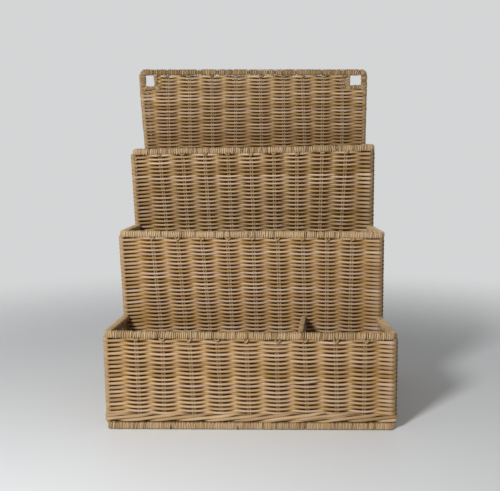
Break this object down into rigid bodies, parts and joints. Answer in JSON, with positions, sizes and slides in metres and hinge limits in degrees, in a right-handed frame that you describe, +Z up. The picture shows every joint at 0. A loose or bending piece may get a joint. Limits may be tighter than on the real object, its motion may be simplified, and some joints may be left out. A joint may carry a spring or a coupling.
{
  "type": "rattan mail holder",
  "caption": "Woven rattan mail holder with stepped walls, open pockets between them, a divider in the front pocket and hanging eyes in the back wall.",
  "frame": {"origin": "middle of the footprint, on the surface that the holder stands on", "axes": "+X to the right seen from the front, +Y from the front pocket to the back wall, +Z up"},
  "size_m": [0.301, 0.2346, 0.387],
  "materials": {
    "woven_cane": "natural satin",
    "upright_rod": "natural satin",
    "bound_cane": "natural satin",
    "wale_cane": "natural satin"
  },
  "bodies": {
    "root": {"front_wall_weave": "woven_cane", "second_wall_weave": "woven_cane", "third_wall_weave": "woven_cane", "back_wall_weave": "woven_cane", "front_left_side_weave": "woven_cane", "front_right_side_weave": "woven_cane", "middle_left_side_weave": "woven_cane", "middle_right_side_weave": "woven_cane", "rear_left_side_weave": "woven_cane", "rear_right_side_weave": "woven_cane", "divider_weave": "woven_cane", "floor_weave": "woven_cane", "front_rim_frame": "upright_rod", "second_rim_frame": "upright_rod", "third_rim_frame": "upright_rod", "back_rim_frame": "upright_rod", "divider_frame": "upright_rod", "base_frame": "upright_rod", "front_rim_binding": "bound_cane", "second_rim_binding": "bound_cane", "third_rim_binding": "bound_cane", "back_rim_binding": "bound_cane", "divider_binding": "bound_cane", "base_binding": "bound_cane", "front_left_post": "upright_rod", "front_right_post": "upright_rod", "second_left_post": "upright_rod", "second_right_post": "upright_rod", "third_left_post": "upright_rod", "third_right_post": "upright_rod", "back_left_post": "upright_rod", "back_right_post": "upright_rod", "front_wale": "wale_cane", "back_wale": "wale_cane", "left_wale": "wale_cane", "right_wale": "wale_cane", "left_eye_sill": "bound_cane", "left_eye_side_bar": "bound_cane", "right_eye_sill": "bound_cane", "right_eye_side_bar": "bound_cane"}
  },
  "joints": []
}
